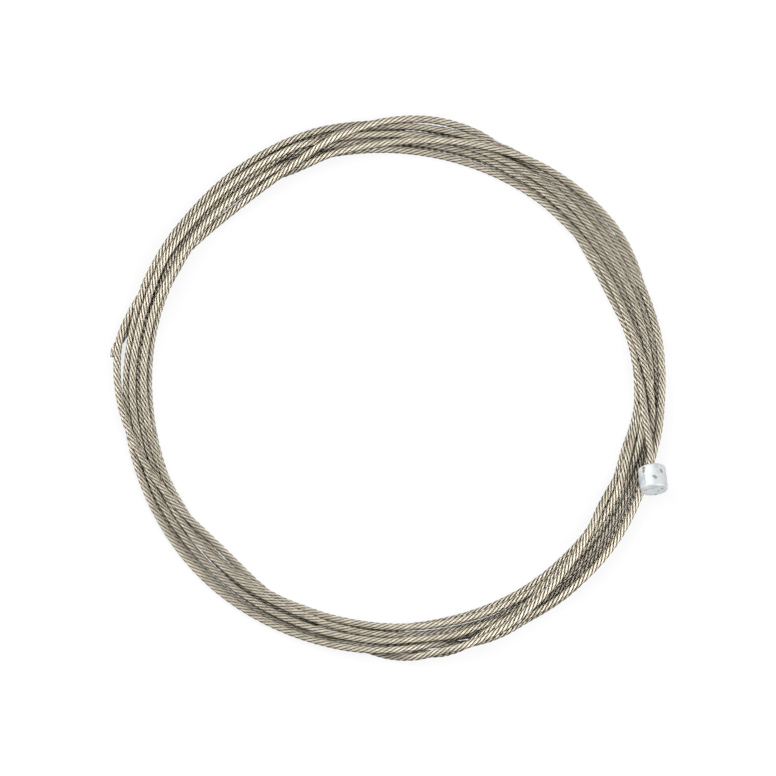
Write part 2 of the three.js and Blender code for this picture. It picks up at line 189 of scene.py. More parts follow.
@dataclass
class CoilRoute:
    """The cable's centre line, wound and settled as in the part's source, in millimetres."""

    cable_diameter: float = 1.1
    coil_radius: float = 39.0
    station_degrees: int = 5
    turn_spacing: float = 1.06
    settle_passes: int = 300
    closing_passes: int = 200
    lane_pull: float = 0.3
    lane_slack: float = 0.35
    sink: float = 0.008
    touches: int = 3
    bow: float = 0.06
    ease: float = 0.35
    lead_stations: int = 3
    straight_run: float = 1.2
    head_diameter: float = 4.2
    head_length: float = 3.7
    head_yaw: float = -83.0
    head_pitch: float = 13.0
    head_exit: tuple[float, float] = (-18.6, 2.47)
    head_rest_gap: float = 0.12
    rest_samples: int = 10
    bore_depth: float = 2.5
    bore_end_gap: float = 0.3
    line_samples: int = 24

    def lane_radius(self, lane: float) -> float:
        """The distance from the coil's middle to a lane."""
        return self.coil_radius + lane * self.cable_diameter

    @staticmethod
    def polar(degrees: float, radius: float, height: float) -> Vector:
        """A point from its angle, distance from the middle, and height."""
        angle = math.radians(degrees)
        return Vector((radius * math.cos(angle), radius * math.sin(angle), height))

    @staticmethod
    def smooth_row(rows: list[Row], x: float, column: int) -> float:
        """A smooth value through the rows.

        Args:
            rows: (degrees, lane, level) rows in rising degrees.
            x: The angle to read at.
            column: 1 for the lane or 2 for the level.

        Returns:
            The value at x, with the slopes of the neighbouring rows.
        """
        k = 0
        while k < len(rows) - 2 and rows[k + 1][0] <= x:
            k += 1

        def slope(i: int) -> float:
            """The slope at a row, from the rows beside it."""
            before, after = rows[max(i - 1, 0)], rows[min(i + 1, len(rows) - 1)]
            return (after[column] - before[column]) / (after[0] - before[0])

        span = rows[k + 1][0] - rows[k][0]
        t = (x - rows[k][0]) / span
        s = 1 - t
        return (
            (1 + 2 * t) * s * s * rows[k][column]
            + t * s * s * span * slope(k)
            + t * t * (3 - 2 * t) * rows[k + 1][column]
            - t * t * s * span * slope(k + 1)
        )

    def resting(self, degrees: float) -> float:
        """The lowest the line runs at an angle, as the coil bows between the places it touches."""
        swing = math.cos(math.radians(self.touches * degrees))
        return self.cable_diameter / 2 + self.bow * (1 - swing) / 2

    def lay_turns(self) -> Stations:
        """The stations as first laid, where the rows ask for them.

        Returns:
            The stations, before they settle.
        """
        rows = [
            (angle + 360 * number, lane, level)
            for number, turn in enumerate(TURNS)
            for angle, lane, level in turn
        ]
        start = rows[0][0]
        count = math.floor((rows[-1][0] - start) / self.station_degrees) + 1
        angle = [start + i * self.station_degrees for i in range(count)]
        lane = [self.lane_radius(self.smooth_row(rows, x, 1)) for x in angle]
        height = [
            self.cable_diameter * (0.5 + max(self.smooth_row(rows, x, 2), 0.0)) for x in angle
        ]
        return Stations(angle, lane, list(lane), height)

    def part_turns(self, stations: Stations) -> None:
        """Moves turns apart where they come closer than their spacing.

        Args:
            stations: The winding, changed in place.
        """
        spacing = self.turn_spacing * self.cable_diameter
        turn = 360 // self.station_degrees
        radius, height = stations.radius, stations.height
        last = len(radius) - 1
        for i in range(last):
            for j in range(i + turn, last, turn):
                start_r = radius[j] - radius[i]
                start_z = height[j] - height[i]
                along_r = radius[j + 1] - radius[i + 1] - start_r
                along_z = height[j + 1] - height[i + 1] - start_z
                square = along_r * along_r + along_z * along_z
                nearest = -(start_r * along_r + start_z * along_z) / square if square > 0 else 0.0
                t = min(max(nearest, 0.0), 1.0)
                r = start_r + t * along_r
                z = start_z + t * along_z
                gap = math.sqrt(r * r + z * z)
                if 0 < gap < spacing:
                    push = (spacing - gap) / gap / 2 / (t * t + (1 - t) * (1 - t))
                    near, far = push * (1 - t), push * t
                    for values, reach in ((radius, r), (height, z)):
                        values[i] -= reach * near
                        values[j] += reach * near
                        values[i + 1] -= reach * far
                        values[j + 1] += reach * far
        for i, z in enumerate(height):
            height[i] = max(z, self.resting(stations.angle[i]))

    def settle(self) -> Stations:
        """Lets the turns sink onto the floor and each other.

        Returns:
            The settled stations.
        """
        stations = self.lay_turns()
        radius, height, lane = stations.radius, stations.height, stations.lane
        slack = self.lane_slack * self.cable_diameter
        for _ in range(self.settle_passes):
            for i in range(1, len(radius) - 1):
                radius[i] += self.lane_pull * (lane[i] - radius[i])
                radius[i] += self.ease * ((radius[i - 1] + radius[i + 1]) / 2 - radius[i])
                height[i] += self.ease * ((height[i - 1] + height[i + 1]) / 2 - height[i])
                height[i] -= self.sink * self.cable_diameter
            self.part_turns(stations)
            self.part_turns(stations)
            for i, r in enumerate(lane):
                radius[i] = min(max(radius[i], r - slack), r + slack)
        for _ in range(self.closing_passes):
            self.part_turns(stations)
        return stations

    def head_pose(self, stations: Stations) -> HeadPose:
        """Lays the head on the turns below it, its free end raised.

        Args:
            stations: The settled winding.

        Returns:
            The head's exit face and axis.
        """
        pitch = math.radians(self.head_pitch)
        turn = 360 // self.station_degrees
        exit_face = self.polar(self.head_exit[0], self.lane_radius(self.head_exit[1]), 0)
        flat = self.polar(self.head_yaw, 1, 0)
        reach = (self.head_diameter + self.cable_diameter) / 2 + self.head_rest_gap
        rest = reach
        for i in range(turn // 2, len(stations.angle) - 1):
            for step in range(self.rest_samples):
                point = self.between(stations, i, step / self.rest_samples)
                offset = Vector((point.x - exit_face.x, point.y - exit_face.y, 0))
                along = offset.dot(flat)
                aside = math.sqrt(max(offset.length_squared - along * along, 0))
                if aside < reach and -self.cable_diameter / 2 < along < self.head_length:
                    over = math.sqrt(reach * reach - aside * aside) / math.cos(pitch)
                    rest = max(rest, point.z + over - along * math.tan(pitch))
        exit_face.z = rest
        axis = flat * math.cos(pitch)
        axis.z = math.sin(pitch)
        return HeadPose(exit_face, axis)

    def between(self, stations: Stations, i: int, t: float) -> Vector:
        """Where the cable lies between two stations.

        Args:
            stations: The settled winding.
            i: The first of the two.
            t: The share of the way to the next.

        Returns:
            A point of the cable's line.
        """
        angle, radius, height = (
            values[i] * (1 - t) + values[i + 1] * t
            for values in (stations.angle, stations.radius, stations.height)
        )
        return self.polar(angle, radius, height)

    def knots(self, stations: Stations, pose: HeadPose) -> list[Vector]:
        """The centre line's knots, from the bore in the head to the cut tip.

        Args:
            stations: The settled winding.
            pose: Where the head sits.

        Returns:
            The points that the cable's line runs through.
        """
        seat = (self.bore_depth - self.bore_end_gap, self.bore_depth / 2, 0, -self.straight_run)
        line = [pose.exit + pose.axis * distance for distance in seat]
        drop = pose.axis.z / math.hypot(pose.axis.x, pose.axis.y)
        tip_start = 360 * (len(TURNS) - 1) + TIP[0][0]
        for i, angle in enumerate(stations.angle):
            if i > 0 and angle < tip_start:
                point = self.polar(angle, stations.radius[i], stations.height[i])
                away = math.hypot(point.x - pose.exit.x, point.y - pose.exit.y)
                share = max(1 - (i - 1) / self.lead_stations, 0)
                point.z += max(share * (pose.exit.z - drop * away - point.z), 0)
                line.append(point)
        line += [
            self.polar(angle, self.lane_radius(lane), self.resting(angle)) for angle, lane in TIP
        ]
        return line

    def trace(self, knots: list[Vector], step: float) -> np.ndarray:
        """Runs a centripetal Catmull-Rom line through the knots.

        Args:
            knots: The points it goes through.
            step: The distance between the points it returns.

        Returns:
            Evenly spaced points, one a row.
        """
        p = np.array([knots[0] * 2 - knots[1], *knots, knots[-1] * 2 - knots[-2]], float)
        t = np.linspace(0, 1, self.line_samples, endpoint=False)[:, None]
        pieces = []
        for p0, p1, p2, p3 in zip(p, p[1:], p[2:], p[3:]):
            d0, d1, d2 = (
                math.sqrt(float(np.linalg.norm(b - a))) for a, b in ((p0, p1), (p1, p2), (p2, p3))
            )
            m1 = ((p1 - p0) / d0 - (p2 - p0) / (d0 + d1) + (p2 - p1) / d1) * d1
            m2 = ((p2 - p1) / d1 - (p3 - p1) / (d1 + d2) + (p3 - p2) / d2) * d1
            pieces.append(
                p1
                + m1 * t
                + (3 * (p2 - p1) - 2 * m1 - m2) * t**2
                + (2 * (p1 - p2) + m1 + m2) * t**3
            )
        fine = np.vstack([*pieces, p[-2:-1]])
        length = np.concatenate([[0], np.cumsum(np.linalg.norm(np.diff(fine, axis=0), axis=1))])
        count = max(round(length[-1] / step), 2)
        even = np.linspace(0, length[-1], count + 1)
        return np.column_stack([np.interp(even, length, fine[:, k]) for k in range(3)])


class NodeKit:
    """A node tree, with short calls for the nodes that this script uses."""

    def __init__(self, tree: bpy.types.NodeTree) -> None:
        """Keeps the tree to build in."""
        self.tree = tree

    def feed(self, node: Node, inputs: dict[str | int, object]) -> None:
        """Gives a node's inputs their values.

        Args:
            node: The node.
            inputs: A value, or a socket to join, for each input by name or number.
        """
        for key, value in inputs.items():
            if isinstance(value, Socket):
                self.tree.links.new(value, node.inputs[key])
            else:
                node.inputs[key].default_value = value

    def add(
        self, kind: str, inputs: dict[str | int, object] | None = None, **settings: object
    ) -> Node:
        """Adds a node.

        Args:
            kind: The node's type name.
            inputs: A value or a socket for some of its inputs, by name or number.
            **settings: Properties to set on it first.

        Returns:
            The new node.
        """
        node = self.tree.nodes.new(kind)
        for key, value in settings.items():
            setattr(node, key, value)
        self.feed(node, inputs or {})
        return node

    def math(self, operation: str, *values: Socket | float, **settings: object) -> Socket:
        """Adds a Math node on sockets or numbers and returns its result."""
        inputs = dict(enumerate(values))
        return self.add("ShaderNodeMath", inputs, operation=operation, **settings).outputs[0]

    def ramp(self, value: Socket, stops: Tints) -> Socket:
        """Colours a value.

        Args:
            value: The value's socket.
            stops: Each colour and its place, in rising order.

        Returns:
            The colour's socket.
        """
        node = self.add("ShaderNodeValToRGB", {"Fac": value})
        elements = node.color_ramp.elements
        while len(elements) < len(stops):
            elements.new(0.5)
        for element, (place, colour) in zip(elements, stops):
            element.position = place
            element.color = (*colour, 1)
        return node.outputs["Color"]

    def greys(self, value: Socket, stops: Pairs) -> Socket:
        """Turns a value into greys by stops of (place, level) and returns the colour socket."""
        return self.ramp(value, tuple((place, (level,) * 3) for place, level in stops))

    def spread(self, value: Socket, low: float, high: float) -> Socket:
        """Maps a value from 0 to 1 onto a range and returns the result."""
        inputs = {"Value": value, "To Min": low, "To Max": high}
        return self.add("ShaderNodeMapRange", inputs).outputs["Result"]


class MaterialKit(NodeKit):
    """A new material with one shader."""

    def __init__(self, name: str) -> None:
        """Starts the material.

        Args:
            name: The material's name.
        """
        self.material = bpy.data.materials.new(name)
        self.material.use_nodes = True
        super().__init__(self.material.node_tree)

    def shade(self, inputs: dict[str, object]) -> None:
        """Feeds the material's shader."""
        self.feed(self.tree.nodes["Principled BSDF"], inputs)

    def read(self, name: str) -> Socket:
        """Reads a stored attribute as a number."""
        return self.add("ShaderNodeAttribute", attribute_name=name).outputs["Fac"]

    def noise(self, place: Socket, scale: float, detail: float, dimensions: str = "3D") -> Socket:
        """Adds a noise on some coordinates and returns its value."""
        inputs = {"Vector": place, "Scale": scale, "Detail": detail}
        return self.add("ShaderNodeTexNoise", inputs, noise_dimensions=dimensions).outputs["Fac"]

    def mix(self, share: Socket, first: Socket | Colour, second: Colour) -> Socket:
        """Mixes two colours.

        Args:
            share: How much of the second shows, from 0 to 1.
            first: A colour, plain or from a socket.
            second: A plain colour.

        Returns:
            The mixed colour's socket.
        """
        start = first if isinstance(first, Socket) else (*first, 1)
        inputs = {"Factor": share, "A": start, "B": (*second, 1)}
        return self.add("ShaderNodeMix", inputs, data_type="RGBA").outputs["Result"]

    def bump(self, height: Socket, strength: float, distance: float) -> None:
        """Gives the shader a bump from a height."""
        inputs = {"Height": height, "Strength": strength, "Distance": distance}
        self.shade({"Normal": self.add("ShaderNodeBump", inputs).outputs["Normal"]})


@dataclass(frozen=True)
class SteelFinish:
    """Drawn steel wire: bright where it shows, with painted shade in the grooves of the lay and low
    on each turn.
    """

    name: str = "drawn_steel"
    bright: Colour = (0.96, 0.89, 0.75)
    # The colour of the painted shade in the grooves of the lay and low on each turn
    painted_shade_colour: Colour = (0.05, 0.04, 0.027)
    tints: Tints = ((0.35, (0.86, 0.84, 0.80)), (0.65, (1.06, 1.05, 1.04)))
    roughness: tuple[float, float] = (0.27, 0.43)
    tone_scale: float = 90.0
    mark_scale: float = 900.0
    mark_strength: float = 0.12
    mark_depth: float = 0.01 * MM
    # How much of the steel's own colour shows through the painted shade, as stops: between bundles,
    # between wires and low on each turn
    bundle_groove_shade: Pairs = ((0.5, 0.0), (0.84, 1.0))
    wire_groove_shade: Pairs = ((0.35, 0.2), (0.75, 1.0))
    low_turn_shade: Pairs = ((0.05, 0.05), (0.62, 1.0))

    def material(self) -> bpy.types.Material:
        """Builds the material.

        Returns:
            A metal that reads the wires' own attributes.
        """
        kit = MaterialKit(self.name)
        # Slow changes of tone along the cable, a little different from wire to wire
        place = kit.add("ShaderNodeCombineXYZ", {"X": kit.read("along"), "Y": kit.read("wire")})
        tone = kit.noise(place.outputs[0], self.tone_scale, 3.0, "2D")
        # Painted shade: the grooves between bundles and between wires are darkened
        shade_between_bundles = kit.greys(kit.read("outside"), self.bundle_groove_shade)
        shade_between_wires = kit.greys(kit.read("crest"), self.wire_groove_shade)
        # Painted shade also darkens the low side of each turn, where turns lie against each other
        shade_low_on_turns = kit.greys(kit.read("rise"), self.low_turn_shade)
        fine = kit.math("MULTIPLY", shade_between_bundles, shade_between_wires)
        colour = kit.mix(kit.math("MULTIPLY", fine, shade_low_on_turns), self.painted_shade_colour, self.bright)
        inputs = {"Factor": 1.0, "A": colour, "B": kit.ramp(tone, self.tints)}
        tinted = kit.add("ShaderNodeMix", inputs, data_type="RGBA", blend_type="MULTIPLY")
        kit.shade(
            {
                "Base Color": tinted.outputs["Result"],
                "Roughness": kit.spread(tone, *self.roughness),
                "Metallic": 1.0,
            }
        )
        # Fine marks left by drawing and handling
        where = kit.add("ShaderNodeTexCoord").outputs["Object"]
        kit.bump(kit.noise(where, self.mark_scale, 2.0), self.mark_strength, self.mark_depth)
        return kit.material


@dataclass(frozen=True)
class ZincFinish:
    """Bare die-cast zinc: pale and bluish, cloudy, with a few darker handling marks and painted
    shade in its dents.
    """

    name: str = "cast_zinc"
    pale: Colour = (0.69, 0.715, 0.725)
    cloud: Colour = (0.53, 0.56, 0.57)
    # The colour of the stains and of the painted shade in the dents
    stain_and_shade: Colour = (0.15, 0.135, 0.115)
    stain_and_shade_share: float = 0.85
    stain_and_shade_core: float = 0.4
    metallic: float = 0.3
    roughness: tuple[float, float] = (0.44, 0.66)
    cloud_scale: float = 700.0
    cloud_shade: Pairs = ((0.36, 1.0), (0.56, 0.0))
    grain_scale: float = 3500.0
    grain_strength: float = 0.25
    grain_depth: float = 0.04 * MM

    def material(self, marks_and_shade: list[tuple[Vector, float]]) -> bpy.types.Material:
        """Builds the material.

        Args:
            marks_and_shade: The middle and the reach of each dark mark, in metres: stains, and
                painted shade in the dents.

        Returns:
            A cast metal with its marks and painted shade.
        """
        kit = MaterialKit(self.name)
        where = kit.add("ShaderNodeTexCoord").outputs["Object"]
        clouds = kit.noise(where, self.cloud_scale, 4.0)
        colour = kit.mix(kit.greys(clouds, self.cloud_shade), self.pale, self.cloud)
        # Each mark darkens the colour: a stain, or painted shade where it sits in a dent
        for middle, reach in marks_and_shade:
            away = kit.add("ShaderNodeVectorMath", {0: where, 1: middle}, operation="DISTANCE")
            inputs = {
                "Value": away.outputs["Value"],
                "From Min": reach,
                "From Max": reach * self.stain_and_shade_core,
                "To Max": self.stain_and_shade_share,
            }
            spot = kit.add("ShaderNodeMapRange", inputs, interpolation_type="SMOOTHSTEP")
            colour = kit.mix(spot.outputs["Result"], colour, self.stain_and_shade)
        roughness = kit.spread(clouds, *self.roughness)
        kit.shade({"Base Color": colour, "Roughness": roughness, "Metallic": self.metallic})
        kit.bump(kit.noise(where, self.grain_scale, 3.0), self.grain_strength, self.grain_depth)
        return kit.material


class LayTree(NodeKit):
    """The Geometry Nodes tree that lays wires round a line."""

    whole_numbers = ("Wires", "Sides")
    lengths_and_turns = (
        "Wire Radius",
        "Wire Lay Radius",
        "Wire Turns A Metre",
        "Bundle Share",
        "Bundle Lay Radius",
        "Bundle Turns A Metre",
    )

    def __init__(self, name: str, material: bpy.types.Material) -> None:
        """Builds the tree.

        Args:
            name: The tree's name.
            material: What it gives its wires.
        """
        super().__init__(bpy.data.node_groups.new(name, "GeometryNodeTree"))
        self.material = material
        face = self.tree.interface
        face.new_socket("Line", in_out="INPUT", socket_type="NodeSocketGeometry")
        kinds = dict.fromkeys(self.whole_numbers, "NodeSocketInt")
        kinds |= dict.fromkeys(self.lengths_and_turns, "NodeSocketFloat")
        self.sockets = {
            label: face.new_socket(label, in_out="INPUT", socket_type=kind).identifier
            for label, kind in kinds.items()
        }
        face.new_socket("Wires", in_out="OUTPUT", socket_type="NodeSocketGeometry")
        self.wire_up()

    def vector(self, operation: str, *values: Socket) -> Socket:
        """Adds a Vector Math node.

        Args:
            operation: What it does.
            *values: The sockets it works on.

        Returns:
            Its result's socket.
        """
        node = self.add("ShaderNodeVectorMath", operation=operation)
        for value in values:
            spare = (s for s in node.inputs if s.enabled and not s.is_linked)
            self.tree.links.new(value, next(s for s in spare if s.type == value.type))
        return node.outputs["Value" if operation == "DISTANCE" else "Vector"]

    def place(self) -> Socket:
        """Reads where each point is."""
        return self.add("GeometryNodeInputPosition").outputs[0]

    def store(self, geometry: Socket, name: str, value: Socket, kind: str = "FLOAT") -> Socket:
        """Stores an attribute on the points.

        Args:
            geometry: The geometry's socket.
            name: The attribute's name.
            value: What it keeps.
            kind: Its data type.

        Returns:
            The geometry's socket with the attribute.
        """
        inputs = {"Geometry": geometry, "Name": name, "Value": value}
        node = self.add("GeometryNodeStoreNamedAttribute", inputs, data_type=kind, domain="POINT")
        return node.outputs["Geometry"]

    def kept(self, name: str, kind: str = "FLOAT_VECTOR") -> Socket:
        """Reads a stored attribute."""
        node = self.add("GeometryNodeInputNamedAttribute", {"Name": name}, data_type=kind)
        return node.outputs["Attribute"]

    def turned(self, turns: Socket, first: Socket, second: Socket) -> tuple[Socket, Socket]:
        """Turns a pair of directions.

        Args:
            turns: How far they turn, in whole turns.
            first: The direction that the turn starts from.
            second: The direction a quarter turn on.

        Returns:
            The two turned directions.
        """
        angle = self.math("MULTIPLY", turns, 2 * math.pi)
        cosine, sine = self.math("COSINE", angle), self.math("SINE", angle)
        minus = self.math("MULTIPLY", sine, -1.0)
        near = self.vector("SCALE", first, cosine), self.vector("SCALE", second, sine)
        far = self.vector("SCALE", first, minus), self.vector("SCALE", second, cosine)
        return self.vector("ADD", *near), self.vector("ADD", *far)

    def how_far_out(self, middle: str, lay: Socket, thick: Socket) -> Socket:
        """How far out of its round a point is: 0 on the inner side and 1 where it shows.

        Args:
            middle: The attribute that keeps the round's middle.
            lay: The distance from the middle to the middle of what is laid round it.
            thick: Half the thickness of what is laid round it.

        Returns:
            The share as a socket.
        """
        away = self.vector("DISTANCE", self.place(), self.kept(middle))
        inner = self.math("SUBTRACT", lay, thick)
        over = self.math("SUBTRACT", away, inner)
        return self.math("DIVIDE", over, self.math("MULTIPLY", thick, 2.0))

    def wire_up(self) -> None:
        """Joins the nodes: copies of the line, wound into one bundle's wires, and their finish."""
        given = self.add("NodeGroupInput").outputs
        inputs = {"Geometry": given["Line"], "Amount": given["Wires"]}
        copies = self.add("GeometryNodeDuplicateElements", inputs, domain="SPLINE")
        line = self.store(copies.outputs["Geometry"], "wire", copies.outputs["Duplicate Index"])
        length = self.add("GeometryNodeSplineParameter").outputs["Length"]
        line = self.store(line, "along", length)
        place = self.place()
        line = self.store(line, "middle", place, "FLOAT_VECTOR")

        tangent = self.add("GeometryNodeInputTangent").outputs[0]
        normal = self.add("GeometryNodeInputNormal").outputs[0]
        side = self.vector("CROSS_PRODUCT", tangent, normal)
        bundle_way = self.math("MULTIPLY", length, given["Bundle Turns A Metre"])
        bundle_turns = self.math("ADD", bundle_way, given["Bundle Share"])
        out, across = self.turned(bundle_turns, normal, side)
        bundle = self.vector("SCALE", out, given["Bundle Lay Radius"])
        share = self.math("DIVIDE", self.kept("wire", "FLOAT"), given["Wires"])
        wire_way = self.math("MULTIPLY", length, given["Wire Turns A Metre"])
        wire_out, _ = self.turned(self.math("ADD", wire_way, share), out, across)
        line = self.store(line, "bundle_middle", self.vector("ADD", place, bundle), "FLOAT_VECTOR")
        move = self.vector("ADD", bundle, self.vector("SCALE", wire_out, given["Wire Lay Radius"]))
        lay = self.add("GeometryNodeSetPosition", {"Geometry": line, "Offset": move})

        inputs = {"Resolution": given["Sides"], "Radius": given["Wire Radius"]}
        section = self.add("GeometryNodeCurvePrimitiveCircle", inputs, mode="RADIUS")
        inputs = {
            "Curve": lay.outputs["Geometry"],
            "Profile Curve": section.outputs["Curve"],
            "Fill Caps": True,
        }
        drawn = self.add("GeometryNodeCurveToMesh", inputs)
        self.dress(drawn.outputs["Mesh"], given)

    def dress(self, wires: Socket, given: bpy.types.NodeOutputs) -> None:
        """Stores what the finish reads, and gives the wires their finish.

        Args:
            wires: The wires' mesh.
            given: The tree's inputs.
        """
        bundle_radius = self.math("ADD", given["Wire Lay Radius"], given["Wire Radius"])
        outside = self.how_far_out("middle", given["Bundle Lay Radius"], bundle_radius)
        wires = self.store(wires, "outside", outside)
        crest = self.how_far_out("bundle_middle", given["Wire Lay Radius"], given["Wire Radius"])
        wires = self.store(wires, "crest", crest)
        # How high a point stands on its turn of the coil: -1 underneath and 1 on top
        apart = self.vector("SUBTRACT", self.place(), self.kept("middle"))
        height = self.add("ShaderNodeSeparateXYZ", {0: apart}).outputs["Z"]
        cable_radius = self.math("ADD", given["Bundle Lay Radius"], bundle_radius)
        wires = self.store(wires, "rise", self.math("DIVIDE", height, cable_radius))
        for kind in ("GeometryNodeSetShadeSmooth", "GeometryNodeRealizeInstances"):
            wires = self.add(kind, {"Geometry": wires}).outputs["Geometry"]
        inputs = {"Geometry": wires, "Material": self.material}
        finish = self.add("GeometryNodeSetMaterial", inputs)
        self.add("NodeGroupOutput", {0: finish.outputs["Geometry"]})


@dataclass
class Strand:
    """The cable itself: six bundles of wires laid round a core, as separate real wires."""

    diameter: float = 1.1 * MM
    # The bundles' crests stand a little over the smooth tube of that diameter
    crest_diameter: float = 1.18 * MM
    bundles: int = 6
    lay_length: float = 5.91 * MM
    hand: Hand = Hand.LEFT
    wires: int = 5
    wire_lay_length: float = 3.4 * MM
    wire_hand: Hand = Hand.RIGHT
    step: float = 0.62 * MM
    wire_sides: int = 4
    core_sides: int = 6
    finish: SteelFinish = field(default_factory=SteelFinish)

    def line_object(self, points: np.ndarray) -> Object:
        """Makes the cable's centre line.

        Args:
            points: Its points in metres, one a row.

        Returns:
            A curve object whose normals stay level.
        """
        data = bpy.data.curves.new("centre_line", "CURVE")
        data.dimensions = "3D"
        data.twist_mode = "Z_UP"
        spline = data.splines.new("POLY")
        spline.points.add(len(points) - 1)
        spline.points.foreach_set("co", np.column_stack([points, np.ones(len(points))]).ravel())
        return placed("centre_line", data)

    @staticmethod
    def laid(line: Object, lay: LayTree, name: str, sizes: dict[str, float]) -> Object:
        """Lays some of the wires as one plain mesh.

        Args:
            line: The cable's centre line.
            lay: The tree that lays the wires.
            name: The piece's name.
            sizes: A value for each named input of the tree.

        Returns:
            The piece.
        """
        modifier = line.modifiers.new("lay", "NODES")
        modifier.node_group = lay.tree
        for label, value in sizes.items():
            modifier[lay.sockets[label]] = value
        bpy.context.view_layer.update()
        seen = line.evaluated_get(bpy.context.evaluated_depsgraph_get())
        mesh = bpy.data.meshes.new_from_object(seen)
        mesh.name = name
        line.modifiers.remove(modifier)
        if not mesh.materials:
            mesh.materials.append(lay.material)
        return placed(name, mesh)

    def build(self, points: np.ndarray, exit_point: Vector, length: float) -> list[Object]:
        """Args:
            points: The centre line in metres.
            exit_point: Where the cable leaves the head, in metres; not used.
            length: The cable's length in metres; not used.

        Returns:
            The pieces: the bundles, then the core.
        """
        lay = LayTree("lay_wires", self.finish.material())
        line = self.line_object(points)
        # Six equal rounds fit round one of the same size, and the wires touch in their own round
        bundle_radius = self.crest_diameter / 6
        wire_radius = bundle_radius / (1 + 1 / math.sin(math.pi / self.wires))
        sizes = {
            "Wires": self.wires,
            "Wire Radius": wire_radius,
            "Wire Lay Radius": bundle_radius - wire_radius,
            "Wire Turns A Metre": self.wire_hand.value / self.wire_lay_length,
            "Bundle Share": 0.0,
            "Bundle Lay Radius": 2 * bundle_radius,
            "Bundle Turns A Metre": self.hand.value / self.lay_length,
            "Sides": self.wire_sides,
        }
        pieces = []
        for k in range(self.bundles):
            sizes["Bundle Share"] = k / self.bundles
            pieces.append(self.laid(line, lay, f"bundle_{k + 1}", sizes))
        sizes |= {"Wires": 1, "Wire Radius": bundle_radius, "Sides": self.core_sides}
        sizes |= {"Wire Lay Radius": 0.0, "Bundle Lay Radius": 0.0}
        pieces.append(self.laid(line, lay, "core", sizes))
        bpy.data.objects.remove(line)
        for piece in pieces:
            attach(piece, "root")
        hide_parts("cable")
        return pieces


